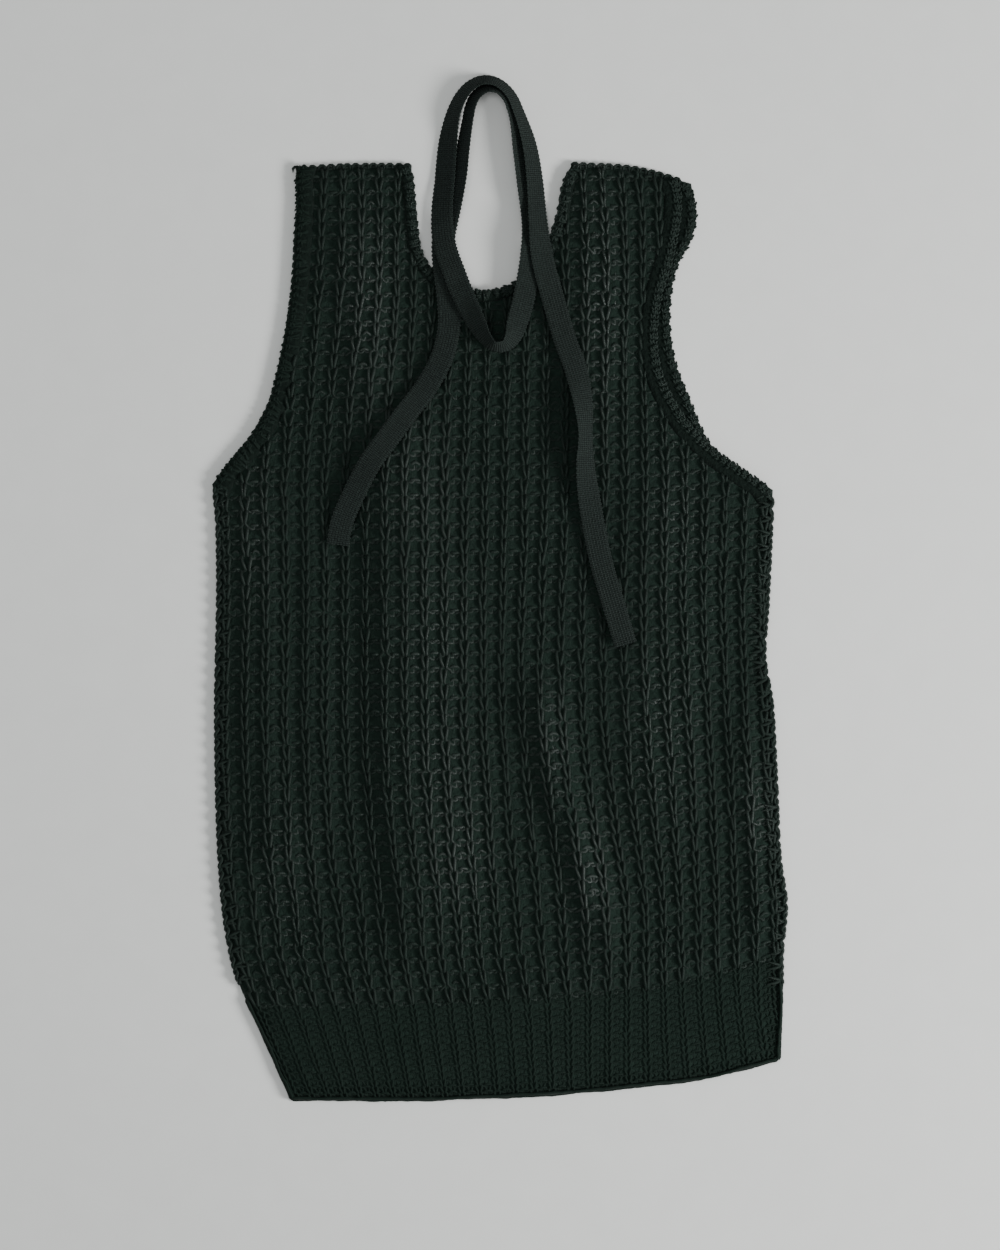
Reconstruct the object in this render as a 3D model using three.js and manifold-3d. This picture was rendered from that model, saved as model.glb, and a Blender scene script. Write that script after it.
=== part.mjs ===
// A knitted sweater vest laid flat, the near panel on the far one, with a flat knitted tie at the neck.
// x runs across the vest, y from hem to shoulders, z up from the surface that it lies on.
// Everything is in millimetres, and the origin is under the middle of the vest.
import * as THREE from "three";
import { mergeVertices } from "three/addons/utils/BufferGeometryUtils.js";
import Module from "manifold-3d";

const wasm = await Module();
wasm.setup();

// The knit
const WALL = 2.8; // the ground between the wales
const WALE_RISE = 1.4; // how far a wale of face stitches stands over the ground
const WALES = 28; // face wales from side to side
const SEAM_GAP = 0.3;
const NEAR_BASE = WALL + SEAM_GAP; // the near panel starts on the far one
const EDGE_DROP = 1.5; // the wall thins where it rolls into an edge
const EDGE_ROUND = 12;
const FOLD_FADE = 34; // folds die away this far from an edge

// The bands
const ARM_TRIM = 13.5;
const NECK_TRIM = 9.5;
const TRIM_HEIGHT = 4.2;
const FAR_TRIM_HEIGHT = 2.8;
const HEM_WALL = 2.6;
const HEM_RISE = 1.2;
const HEM_SAG = 15; // the hem's middle ribs hang straight while its ends lean

// The tie
const TIE_WIDTH = 16.5;
const TIE_THICKNESS = 2;
const TIE_STEPS = 132;
const TIE_CLEARANCE = 0.35;
const TIE_SLOPE = 0.28; // how steeply it comes down off the cloth

// The edges go round the vest anticlockwise, so the cloth is always on their left.
const HEM_EDGE = [
  { x: -150, y: -369.4 },
  { x: -50, y: -369.4 },
  { x: 37, y: -365.5 },
  { x: 94, y: -360.5 },
  { x: 148, y: -354 },
  { x: 203, y: -340 },
];
const RIGHT_SIDE = [
  { x: 203, y: -340 },
  { x: 204.5, y: -291 },
  { x: 204.5, y: -263 },
  { x: 207.4, y: -227 },
  { x: 203, y: -195 },
  { x: 200, y: -131 },
  { x: 197, y: -81 },
  { x: 192, y: -50 },
  { x: 194, y: -15 },
  { x: 196, y: 25 },
  { x: 198, y: 71 },
];
const NEAR_RIGHT_ARMHOLE = [
  { x: 198, y: 71 },
  { x: 176, y: 86 },
  { x: 155, y: 101 },
  { x: 139, y: 117 },
  { x: 126, y: 136 },
  { x: 117, y: 157 },
  { x: 114, y: 180 },
  { x: 117, y: 208 },
  { x: 126, y: 240 },
  { x: 131, y: 268 },
  { x: 131, y: 294 },
];
const FAR_RIGHT_ARMHOLE = [
  { x: 198, y: 71 },
  { x: 176, y: 83 },
  { x: 158, y: 97 },
  { x: 147, y: 114 },
  { x: 138, y: 136 },
  { x: 129, y: 158 },
  { x: 124, y: 182 },
  { x: 124, y: 208 },
  { x: 129, y: 232 },
  { x: 139, y: 251 },
  { x: 142.6, y: 269 },
  { x: 139, y: 292 },
];
const NEAR_RIGHT_SHOULDER = [
  { x: 131, y: 294 },
  { x: 119, y: 298 },
  { x: 94, y: 303.5 },
  { x: 52, y: 306 },
];
const FAR_RIGHT_SHOULDER = [
  { x: 139, y: 292 },
  { x: 119, y: 297.5 },
  { x: 94, y: 303 },
  { x: 52, y: 305.5 },
];
const NECK_EDGE = [
  { x: 52, y: 306 },
  { x: 45.5, y: 291 },
  { x: 42, y: 272 },
  { x: 36, y: 253 },
  { x: 25, y: 235 },
  { x: 10, y: 220 },
  { x: -10, y: 214.5 },
  { x: -31, y: 218.5 },
  { x: -47, y: 229 },
  { x: -55.5, y: 243 },
  { x: -58.5, y: 262 },
  { x: -60.5, y: 284 },
  { x: -62.6, y: 305 },
];
const LEFT_SHOULDER = [
  { x: -62.6, y: 305 },
  { x: -104, y: 305 },
  { x: -147, y: 303 },
];
const LEFT_ARMHOLE = [
  { x: -147, y: 303 },
  { x: -146, y: 277 },
  { x: -147.5, y: 251 },
  { x: -149, y: 224 },
  { x: -152, y: 197 },
  { x: -156, y: 174 },
  { x: -161, y: 152 },
  { x: -167, y: 131 },
  { x: -178, y: 111 },
  { x: -192, y: 94 },
  { x: -207.4, y: 75 },
];
const LEFT_SIDE = [
  { x: -207.4, y: 75 },
  { x: -204.5, y: 58 },
  { x: -203, y: 6 },
  { x: -204.5, y: -95 },
  { x: -202, y: -196 },
  { x: -197, y: -247 },
  { x: -189, y: -282 },
  { x: -169, y: -327 },
  { x: -157, y: -354 },
  { x: -150, y: -369.4 },
];
const HEM_JOIN = [
  { x: -230, y: -300 },
  { x: -122, y: -299 },
  { x: -32, y: -296.5 },
  { x: 44, y: -292 },
  { x: 121, y: -284 },
  { x: 204, y: -262 },
  { x: 232, y: -254 },
];

// The outermost wales at each height, which the others share the width between.
const WALE_GUIDES = [
  { y: -380, left: -146, right: 220 },
  { y: -300, left: -181, right: 207 },
  { y: -262, left: -194, right: 206 },
  { y: -196, left: -202, right: 204 },
  { y: -95, left: -204.5, right: 198 },
  { y: 0, left: -203, right: 196 },
  { y: 75, left: -205, right: 199 },
  { y: 315, left: -184, right: 186 },
];

// The largest soft folds of the near panel, each a ridge from one end to the other.
const FOLDS = [
  { name: "middle", fromX: -74, fromY: 110, toX: -66, toY: -236, spread: 25, rise: 5.5 },
  { name: "middle slope", fromX: -46, fromY: 60, toX: -34, toY: -238, spread: 30, rise: 3.2 },
  { name: "lower right", fromX: 30, fromY: -86, toX: 72, toY: -250, spread: 18, rise: 5.5 },
  { name: "right breast", fromX: 112, fromY: 40, toX: 118, toY: -170, spread: 28, rise: 3.4 },
  { name: "right edge", fromX: 178, fromY: -100, toX: 188, toY: -236, spread: 12, rise: 4 },
  { name: "left side", fromX: -164, fromY: 60, toX: -160, toY: -190, spread: 20, rise: 3.4 },
  { name: "left strap", fromX: -104, fromY: 250, toX: -96, toY: 146, spread: 18, rise: 3.8 },
  { name: "right strap", fromX: 68, fromY: 276, toX: 74, toY: 150, spread: 18, rise: 3.2 },
  { name: "left blouse", fromX: -158, fromY: -280, toX: -60, toY: -284, spread: 14, rise: 3 },
  { name: "right blouse", fromX: 20, fromY: -279, toX: 176, toY: -256, spread: 14, rise: 2.8 },
];

// The tie's middle line from the left end to the right one. roll tips the tape on its length, the edge at the
// inside of the loop upwards, and lift carries it over the winding below.
const TIE_ROUTE = [
  { x: -116, y: 31, roll: 0, lift: 0 },
  { x: -113, y: 47, roll: 0, lift: 0 },
  { x: -105, y: 66, roll: 2, lift: 0 },
  { x: -93, y: 89, roll: 4, lift: 0 },
  { x: -80, y: 107, roll: 0, lift: 0 },
  { x: -66, y: 126, roll: 0, lift: 0 },
  { x: -52, y: 145, roll: 4, lift: 0 },
  { x: -41, y: 166, roll: 3, lift: 0 },
  { x: -36, y: 188, roll: 0, lift: 0 },
  { x: -37, y: 211, roll: 0, lift: 0 },
  { x: -39.5, y: 232, roll: 0, lift: 0 },
  { x: -40, y: 251, roll: 6, lift: 0 },
  { x: -35.5, y: 270, roll: 24, lift: 0 },
  { x: -29, y: 294, roll: 46, lift: 0 },
  { x: -25.5, y: 318, roll: 55, lift: 0 },
  { x: -22.4, y: 337, roll: 60, lift: 0 },
  { x: -19.6, y: 348.7, roll: 60, lift: 0 },
  { x: -13.4, y: 357.3, roll: 60, lift: 0 },
  { x: -3.6, y: 359.4, roll: 63, lift: 0 },
  { x: 5.4, y: 353.2, roll: 62, lift: 0 },
  { x: 11.8, y: 338, roll: 56, lift: 0 },
  { x: 15, y: 315, roll: 52, lift: 0 },
  { x: 18.8, y: 288, roll: 47, lift: 0 },
  { x: 23, y: 261, roll: 36, lift: 0 },
  { x: 22.5, y: 236, roll: 24, lift: 0 },
  { x: 18.5, y: 211, roll: 15, lift: 0 },
  { x: 13, y: 190, roll: 24, lift: 0 },
  { x: 8, y: 176.5, roll: 54, lift: 0 },
  { x: 0, y: 171.8, roll: 76, lift: 0 },
  { x: -9, y: 178, roll: 58, lift: 0.6 },
  { x: -17, y: 191.5, roll: 32, lift: 2.9 },
  { x: -25, y: 208, roll: 14, lift: 3.9 },
  { x: -33, y: 228, roll: 2, lift: 4 },
  { x: -39, y: 246, roll: 3, lift: 4.6 },
  { x: -41, y: 269, roll: 20, lift: 3 },
  { x: -39, y: 294, roll: 28, lift: 0.8 },
  { x: -37, y: 318, roll: 32, lift: 0 },
  { x: -33.2, y: 340, roll: 50, lift: 0 },
  { x: -26, y: 355.2, roll: 54, lift: 0 },
  { x: -15.4, y: 364.2, roll: 58, lift: 0 },
  { x: -3.8, y: 364.4, roll: 60, lift: 0 },
  { x: 7.2, y: 356.4, roll: 62, lift: 0 },
  { x: 15, y: 340, roll: 60, lift: 0 },
  { x: 22, y: 318, roll: 50, lift: 0 },
  { x: 26, y: 290, roll: 42, lift: 0.6 },
  { x: 28, y: 262, roll: 34, lift: 1.6 },
  { x: 31, y: 237, roll: 14, lift: 2.4 },
  { x: 37.5, y: 212, roll: 2, lift: 0.8 },
  { x: 46.5, y: 181, roll: 0, lift: 0 },
  { x: 55.5, y: 155, roll: 6, lift: 0 },
  { x: 60.5, y: 131, roll: 34, lift: 0 },
  { x: 62, y: 109, roll: 52, lift: 0 },
  { x: 62, y: 87, roll: 34, lift: 0 },
  { x: 66, y: 56, roll: 6, lift: 0 },
  { x: 73, y: 20, roll: 0, lift: 0 },
  { x: 82, y: -11, roll: 0, lift: 0 },
  { x: 91, y: -41, roll: 0, lift: 0 },
];

const black = (lightness, roughness) =>
  new THREE.MeshStandardMaterial({
    color: new THREE.Color().setHSL(0.47, 0.1, lightness),
    roughness,
    metalness: 0,
  });
const KNIT = black(0.045, 0.72);
const HEM_KNIT = black(0.04, 0.75);
const TRIM_KNIT = black(0.05, 0.7);
const TAPE = black(0.075, 0.66);

const lerp = (from, to, t) => from + (to - from) * t;
const clamp = (value) => Math.min(1, Math.max(0, value));
const smooth = (value) => clamp(value) ** 2 * (3 - 2 * clamp(value));

// A smooth line through a table's rows, as evenly spaced points.
function lineThrough(rows, steps) {
  const points = rows.map(({ x, y }) => new THREE.Vector3(x, y, 0));
  return new THREE.CatmullRomCurve3(points, false, "centripetal").getSpacedPoints(steps);
}

function distanceToLine(line, x, y) {
  let nearest = Infinity;
  for (let i = 1; i < line.length; i++) {
    const [a, b] = [line[i - 1], line[i]];
    const [dx, dy] = [b.x - a.x, b.y - a.y];
    const t = clamp(((x - a.x) * dx + (y - a.y) * dy) / (dx * dx + dy * dy));
    nearest = Math.min(nearest, Math.hypot(x - a.x - dx * t, y - a.y - dy * t));
  }
  return nearest;
}

// The value of a table's column at a height, straight between its rows.
function valueAt(rows, y, column) {
  let i = 1;
  while (i < rows.length - 1 && rows[i].y < y) i++;
  const [a, b] = [rows[i - 1], rows[i]];
  return lerp(a[column], b[column], (y - a.y) / (b.y - a.y));
}

const edges = {
  hem: lineThrough(HEM_EDGE, 12),
  rightSide: lineThrough(RIGHT_SIDE, 20),
  nearRightArmhole: lineThrough(NEAR_RIGHT_ARMHOLE, 22),
  farRightArmhole: lineThrough(FAR_RIGHT_ARMHOLE, 22),
  nearRightShoulder: lineThrough(NEAR_RIGHT_SHOULDER, 4),
  farRightShoulder: lineThrough(FAR_RIGHT_SHOULDER, 4),
  neck: lineThrough(NECK_EDGE, 24),
  leftShoulder: lineThrough(LEFT_SHOULDER, 4),
  leftArmhole: lineThrough(LEFT_ARMHOLE, 22),
  leftSide: lineThrough(LEFT_SIDE, 22),
};
const nearRight = [edges.nearRightArmhole, edges.nearRightShoulder];
const farRight = [edges.farRightArmhole, edges.farRightShoulder];
const outlineWith = (right) => [
  ...edges.hem.slice(1),
  ...edges.rightSide.slice(1),
  ...right[0].slice(1),
  ...right[1].slice(1),
  ...edges.neck.slice(1),
  ...edges.leftShoulder.slice(1),
  ...edges.leftArmhole.slice(1),
  ...edges.leftSide.slice(1),
];
const nearOutline = outlineWith(nearRight);
const farOutline = outlineWith(farRight);
const nearEdge = [...nearOutline, nearOutline[0]];

// How high the near panel stands over the far one in a fold.
function foldHeight(x, y) {
  const fade = smooth(distanceToLine(nearEdge, x, y) / FOLD_FADE);
  let height = 0;
  for (const fold of FOLDS) {
    const ridge = [
      { x: fold.fromX, y: fold.fromY },
      { x: fold.toX, y: fold.toY },
    ];
    height += fold.rise * Math.exp(-((distanceToLine(ridge, x, y) / fold.spread) ** 2));
  }
  return fade * height;
}

// 1 on a face wale, 0 on the purl ground between two wales.
const WALE_PHASES = [0.12, 0.32, 0.68, 0.88];
function waleAt(u) {
  const phase = u - Math.floor(u);
  const [start, full, ease, end] = WALE_PHASES;
  return Math.min(clamp((phase - start) / (full - start)), clamp((end - phase) / (end - ease)));
}

// Where wale u of the near side passes a height.
function waleX(u, y) {
  const share = u / WALES;
  const below = Math.max(0, -300 - y) / 70;
  const straight = lerp(valueAt(WALE_GUIDES, y, "left"), valueAt(WALE_GUIDES, y, "right"), share);
  return straight - HEM_SAG * below * Math.sin(Math.PI * clamp(share));
}

function nearTop(x, y, wall, wale) {
  const rolled = 1 - smooth(distanceToLine(nearEdge, x, y) / EDGE_ROUND);
  return NEAR_BASE + foldHeight(x, y) + wall + wale - EDGE_DROP * rolled;
}

function geometryOf(positions, triangles) {
  const geometry = new THREE.BufferGeometry();
  geometry.setAttribute("position", new THREE.Float32BufferAttribute(positions, 3));
  geometry.setIndex(triangles);
  return geometry;
}

function solidOf(geometry) {
  const bare = geometry.clone();
  bare.deleteAttribute("normal");
  bare.deleteAttribute("uv");
  const merged = mergeVertices(bare, 1e-4);
  const vertProperties = new Float32Array(merged.getAttribute("position").array);
  const triVerts = new Uint32Array(merged.index.array);
  return new wasm.Manifold(new wasm.Mesh({ numProp: 3, vertProperties, triVerts }));
}

function meshOf(name, solid, material) {
  const { vertProperties, triVerts } = solid.simplify(0.02).getMesh();
  const geometry = geometryOf(vertProperties, [...triVerts]);
  geometry.computeVertexNormals();
  const mesh = new THREE.Mesh(geometry, material);
  mesh.name = name;
  return mesh;
}

// A closed block under a grid of heights, from the grid down to a flat base.
function block(columns, rows, topAt, base) {
  const positions = [];
  const triangles = [];
  const width = columns.length;
  const layer = width * rows.length;
  for (const isBase of [false, true]) {
    for (const y of rows) {
      for (const u of columns) {
        const x = waleX(u, y);
        positions.push(x, y, isBase ? base : topAt(x, y, u));
      }
    }
  }
  const quad = (a, b, c, d) => triangles.push(a, b, c, a, c, d);
  for (let j = 1; j < rows.length; j++) {
    for (let i = 1; i < width; i++) {
      const [a, b] = [(j - 1) * width + i - 1, (j - 1) * width + i];
      const [c, d] = [j * width + i, j * width + i - 1];
      quad(a, b, c, d);
      quad(layer + d, layer + c, layer + b, layer + a);
    }
  }
  for (let j = 1; j < rows.length; j++) {
    const [low, high] = [(j - 1) * width, j * width];
    quad(low, high, layer + high, layer + low);
    const [lowEnd, highEnd] = [low + width - 1, high + width - 1];
    quad(highEnd, lowEnd, layer + lowEnd, layer + highEnd);
  }
  for (let i = 1; i < width; i++) {
    quad(i, i - 1, layer + i - 1, layer + i);
    const [a, b] = [layer - width + i - 1, layer - width + i];
    quad(a, b, layer + b, layer + a);
  }
  return solidOf(geometryOf(positions, triangles));
}

function prism(outline, low, high) {
  const shape = new THREE.Shape(outline.map(({ x, y }) => new THREE.Vector2(x, y)));
  const geometry = new THREE.ExtrudeGeometry(shape, { depth: high - low, bevelEnabled: false });
  return solidOf(geometry.translate(0, 0, low));
}

// A closed body swept through rings of the same number of points, with flat ends.
function loft(rings) {
  const sides = rings[0].length;
  const positions = rings.flat().flatMap(({ x, y, z }) => [x, y, z]);
  const triangles = [];
  for (let j = 1; j < rings.length; j++) {
    for (let i = 0; i < sides; i++) {
      const next = (i + 1) % sides;
      const [a, b] = [(j - 1) * sides + i, (j - 1) * sides + next];
      const [c, d] = [j * sides + next, j * sides + i];
      triangles.push(a, b, c, a, c, d);
    }
  }
  const last = (rings.length - 1) * sides;
  for (let i = 1; i < sides - 1; i++) {
    triangles.push(0, i + 1, i);
    triangles.push(last, last + i, last + i + 1);
  }
  return solidOf(geometryOf(positions, triangles));
}

// Directions along a line, and to the left of it, at each of its points.
function bearings(line) {
  return line.map((point, i) => {
    const ahead = line[Math.min(i + 1, line.length - 1)];
    const behind = line[Math.max(i - 1, 0)];
    const along = new THREE.Vector3().subVectors(ahead, behind).setZ(0).normalize();
    return { point, along, left: new THREE.Vector3(-along.y, along.x, 0) };
  });
}

// A line with straight pieces added at both ends.
function longer(line, by) {
  const stations = bearings(line);
  const first = stations[0];
  const last = stations[stations.length - 1];
  return [
    first.point.clone().addScaledVector(first.along, -by),
    ...line,
    last.point.clone().addScaledVector(last.along, by),
  ];
}

// A band along an edge of the cloth. Its section is a list of steps into the cloth and heights.
function band(edge, section) {
  const rings = bearings(longer(edge, 22)).map(({ point, left }) =>
    section.map(({ into, z }) => point.clone().addScaledVector(left, into).setZ(z)),
  );
  return loft(rings);
}

const trimSection = (width, low, high) => [
  { into: 0.7, z: low },
  { into: width, z: low },
  { into: width, z: high - 0.9 },
  { into: width * 0.72, z: high },
  { into: width * 0.3, z: high },
  { into: 0, z: high - 1.3 },
  { into: 0, z: low + 0.8 },
];
const clearSection = (width) => [
  { into: -6, z: -5 },
  { into: width + SEAM_GAP, z: -5 },
  { into: width + SEAM_GAP, z: 60 },
  { into: -6, z: 60 },
];

// What lies beyond an edge, as a tall block that a band's end is cut with.
function beyond(edge, reach) {
  const line = longer(edge, 30);
  const outside = bearings(line).map(({ point, left }) => point.clone().addScaledVector(left, -reach));
  return prism([...line.reverse(), ...outside], -10, 70);
}

// The near and far cloth above the hem, and the hem below it.
function region(side) {
  const join = lineThrough(HEM_JOIN, 24).map((p) => ({ x: p.x, y: p.y + (side * SEAM_GAP) / 2 }));
  const end = side > 0 ? 400 : -400;
  const corners = [
    { x: 232, y: end },
    { x: -230, y: end },
  ];
  const outline = [...join, ...corners];
  return prism(side > 0 ? outline : outline.reverse(), -12, 80);
}
const aboveHem = region(1);
const belowHem = region(-1);

const clearBands = (armholes) => [
  ...armholes.map((edge) => band(edge, clearSection(ARM_TRIM))),
  band(edges.neck, clearSection(NECK_TRIM)),
];
const less = (solid, cuts) => cuts.reduce((rest, cut) => rest.subtract(cut), solid);

const stepsBetween = (from, to, steps) =>
  Array.from({ length: steps + 1 }, (_, i) => lerp(from, to, i / steps));
const waleColumns = Array.from({ length: WALES + 2 }, (_, k) => k - 1).flatMap((k) =>
  WALE_PHASES.map((phase) => k + phase),
);
const plainColumns = stepsBetween(-1, WALES + 1, (WALES + 2) / 2);

// A wall with its wales raised on the outside over a plain inside, cut to an outline.
function nearWall(fromY, toY, rows, wall, rise) {
  const heights = stepsBetween(fromY, toY, rows);
  const outer = block(waleColumns, heights, (x, y, u) => nearTop(x, y, wall, rise * waleAt(u)), -4);
  const inner = block(plainColumns, heights, (x, y) => NEAR_BASE + foldHeight(x, y), -8);
  return outer.subtract(inner).intersect(prism(nearOutline, -6, 60));
}

function makeFrontPanel() {
  const wall = nearWall(-312, 318, 22, WALL, WALE_RISE).intersect(aboveHem);
  const panel = less(wall, clearBands([edges.nearRightArmhole, edges.leftArmhole]));
  return meshOf("front_panel", panel, KNIT);
}

function makeFrontHemRib() {
  return meshOf("front_hem_rib", nearWall(-382, -240, 6, HEM_WALL, HEM_RISE).intersect(belowHem), HEM_KNIT);
}

function makeBackPanel() {
  const wall = prism(farOutline, 0, WALL).intersect(aboveHem);
  const panel = less(wall, clearBands([edges.farRightArmhole, edges.leftArmhole]));
  return meshOf("back_panel", panel, KNIT);
}

function makeBackHemRib() {
  return meshOf("back_hem_rib", prism(farOutline, 0, WALL).intersect(belowHem), HEM_KNIT);
}

// A trim follows its edge and ends at the seams there.
function makeTrim(name, edge, seams, section) {
  const ends = seams.map((seam) => beyond(seam, 60));
  return meshOf(name, less(band(edge, section), ends), TRIM_KNIT);
}

function makeTrims() {
  const nearArm = trimSection(ARM_TRIM, NEAR_BASE, NEAR_BASE + TRIM_HEIGHT);
  const farArm = trimSection(ARM_TRIM, 0, FAR_TRIM_HEIGHT);
  const nearNeck = trimSection(NECK_TRIM, NEAR_BASE, NEAR_BASE + TRIM_HEIGHT);
  const farNeck = trimSection(NECK_TRIM, 0, FAR_TRIM_HEIGHT);
  const leftSeams = [edges.leftShoulder, edges.leftSide.slice(0, 6)];
  const sideSeam = edges.rightSide.slice(-6);
  return [
    makeTrim("left_armhole_trim_front", edges.leftArmhole, leftSeams, nearArm),
    makeTrim("left_armhole_trim_back", edges.leftArmhole, leftSeams, farArm),
    makeTrim("right_armhole_trim_front", nearRight[0], [sideSeam, nearRight[1]], nearArm),
    makeTrim("right_armhole_trim_back", farRight[0], [sideSeam, farRight[1]], farArm),
    makeTrim("neck_trim_front", edges.neck, [nearRight[1], edges.leftShoulder], nearNeck),
    makeTrim("neck_trim_back", edges.neck, [farRight[1], edges.leftShoulder], farNeck),
  ];
}

// The highest cloth under a disc of the tie's half width, or the table beside the vest.
const nearShape = new THREE.Shape(nearOutline.map(({ x, y }) => new THREE.Vector2(x, y)));
const outlinePoints = nearShape.getPoints();
function isOverCloth(x, y) {
  let inside = false;
  for (let i = 0, j = outlinePoints.length - 1; i < outlinePoints.length; j = i++) {
    const [a, b] = [outlinePoints[i], outlinePoints[j]];
    const crosses = a.y > y !== b.y > y && x < ((b.x - a.x) * (y - a.y)) / (b.y - a.y) + a.x;
    if (crosses) inside = !inside;
  }
  return inside;
}

function supportUnder(x, y) {
  const reach = TIE_WIDTH / 2 + 1.5;
  let top = 0;
  for (let k = 0; k < 24; k++) {
    const angle = (k / 24) * 2 * Math.PI;
    for (const radius of [0, reach / 2, reach]) {
      const [px, py] = [x + radius * Math.cos(angle), y + radius * Math.sin(angle)];
      if (isOverCloth(px, py)) {
        const cloth = NEAR_BASE + foldHeight(px, py) + WALL + WALE_RISE;
        top = Math.max(top, cloth + 0.1);
      }
    }
  }
  return top;
}

// Evenly spaced places along the tie, with its roll and lift carried along.
function tieStations() {
  const middle = new THREE.CatmullRomCurve3(
    TIE_ROUTE.map(({ x, y }) => new THREE.Vector3(x, y, 0)),
    false,
    "centripetal",
  );
  const turn = new THREE.CatmullRomCurve3(
    TIE_ROUTE.map(({ roll, lift }, i) => new THREE.Vector3(i, roll, lift)),
    false,
    "catmullrom",
    0.3,
  );
  return Array.from({ length: TIE_STEPS + 1 }, (_, i) => {
    const t = middle.getUtoTmapping(i / TIE_STEPS);
    const { y: roll, z: lift } = turn.getPoint(t);
    const point = middle.getPoint(t);
    return { point, roll: THREE.MathUtils.degToRad(roll), lift: Math.max(0, lift) };
  });
}

// The height that the tie lies at, which falls from the cloth to the table in a slope, not a step.
function easedSupport(points) {
  const heights = points.map(({ x, y }) => supportUnder(x, y));
  const fall = TIE_SLOPE * points[1].distanceTo(points[0]);
  return heights.map((_, i) => Math.max(...heights.map((height, k) => height - fall * Math.abs(k - i))));
}

const TIE_SECTION = [
  { across: -0.5, out: 0 },
  { across: -0.45, out: -0.5 },
  { across: 0.45, out: -0.5 },
  { across: 0.5, out: 0 },
  { across: 0.45, out: 0.5 },
  { across: -0.45, out: 0.5 },
];

function makeNeckTie() {
  const stations = tieStations();
  const points = stations.map(({ point }) => point);
  const support = easedSupport(points);
  const rings = bearings(points).map(({ point, left }, i) => {
    const { roll, lift } = stations[i];
    const up = new THREE.Vector3(0, 0, 1);
    const across = left.clone().multiplyScalar(Math.cos(roll)).addScaledVector(up, -Math.sin(roll));
    const out = left.clone().multiplyScalar(Math.sin(roll)).addScaledVector(up, Math.cos(roll));
    const halfHeight = (TIE_WIDTH * Math.sin(roll) + TIE_THICKNESS * Math.cos(roll)) / 2;
    const middle = point.clone().setZ(support[i] + TIE_CLEARANCE + lift + halfHeight);
    return TIE_SECTION.map((corner) =>
      middle
        .clone()
        .addScaledVector(across, corner.across * TIE_WIDTH)
        .addScaledVector(out, corner.out * TIE_THICKNESS),
    );
  });
  return meshOf("neck_tie", loft(rings), TAPE);
}

const vest = new THREE.Group();
vest.add(makeBackPanel(), makeBackHemRib(), makeFrontPanel(), makeFrontHemRib());
vest.add(...makeTrims(), makeNeckTie());

export default vest;
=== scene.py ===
import math

import bpy
import numpy as np
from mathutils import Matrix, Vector
from mathutils.geometry import delaunay_2d_cdt


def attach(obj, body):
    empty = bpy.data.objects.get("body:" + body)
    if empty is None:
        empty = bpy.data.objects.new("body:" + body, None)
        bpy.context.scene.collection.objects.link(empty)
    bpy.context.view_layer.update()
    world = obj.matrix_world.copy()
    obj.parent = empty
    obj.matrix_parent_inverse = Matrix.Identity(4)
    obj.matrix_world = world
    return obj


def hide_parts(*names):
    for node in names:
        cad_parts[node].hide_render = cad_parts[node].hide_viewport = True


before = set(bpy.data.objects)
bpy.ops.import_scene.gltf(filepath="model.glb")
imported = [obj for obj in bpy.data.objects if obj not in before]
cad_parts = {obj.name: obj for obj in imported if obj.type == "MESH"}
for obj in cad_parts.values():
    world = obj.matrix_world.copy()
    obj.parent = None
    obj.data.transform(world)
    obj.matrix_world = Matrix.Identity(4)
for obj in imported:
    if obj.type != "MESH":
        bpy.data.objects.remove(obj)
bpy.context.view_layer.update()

MM = 0.001

# The solids' own sizes
WALL = 2.8
WALE_RISE = 1.4
WALES = 28
NEAR_BASE = WALL + 0.3
EDGE_DROP = 1.5
EDGE_ROUND = 12
FOLD_FADE = 34
ARM_TRIM = 13.5
NECK_TRIM = 9.5
NEAR_TRIM_TOP = NEAR_BASE + 4.2
FAR_TRIM_TOP = 2.8
HEM_TOP = -300
HEM_HEIGHT = 70
HEM_SAG = 15
TIE_WIDTH = 16.5
TIE_THICKNESS = 2
TIE_STEPS = 132
TIE_CLEARANCE = 0.35
TIE_SLOPE = 0.28
TIE_MARGIN = 1.5
TIE_BEND = 0.3
TIE_REST_GAP = 0.1
DISC_POINTS = 24

# How closely curves are drawn, and the grid of the values that depend on the place
OUTLINE_STEP = 4.0
SPAN_POINTS = 32
TIE_SPAN_POINTS = 12
GRID_STEP = 2.0
GRID_REACH_X = 244
GRID_REACH_Y = 404
JUST_OVER_ONE = 1.001
FAR_AWAY = 1e9

# How the near cloth rolls down at the vest's edges
SIDE_ROLL = 8.0
SIDE_DROP = 2.4
NEAR_SHARE_OF_DROP = 0.5

# The thin shells under the loops. The body's reach under the hem rib, so that no floor shows at the join.
SHELL_INSET = 0.8
BODY_JOIN_INSET = -1.3
NEAR_SHELL_GAP = 0.3
NEAR_SHELL_WALL = 0.9
NEAR_SHELL_STEP = 7
FAR_SHELL_BASE = 0.8
FAR_SHELL_WALL = 0.5
FAR_SHELL_STEP = 14
JOIN_END_GAP = 2
ON_JOIN = 0.5
WELD = 1e-5
KEEP_INSIDE = 1

# The knitted rows
BODY_TOP = 306.0
BODY_COURSES = 58
HEM_COURSES = 14
HEM_ROWS_UP = 1.2
YARN = 1.28
HEM_YARN = 1.0
FAR_YARN = 0.9
LOOP_MIDDLE = 1.7
HEM_LOOP_SINK = 0.6
FAR_LOOP_MIDDLE = WALL / 2 + 0.1
LOWEST_LOOP = 1.0
TUBE_SIDES = 5
FAR_TUBE_SIDES = 3
CUT_END = 0.05
JOIN_OVERLAP = 3.5
BAND_OVERLAP = 3.0
WALE_GUIDE_HEIGHT = -290.0

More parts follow.
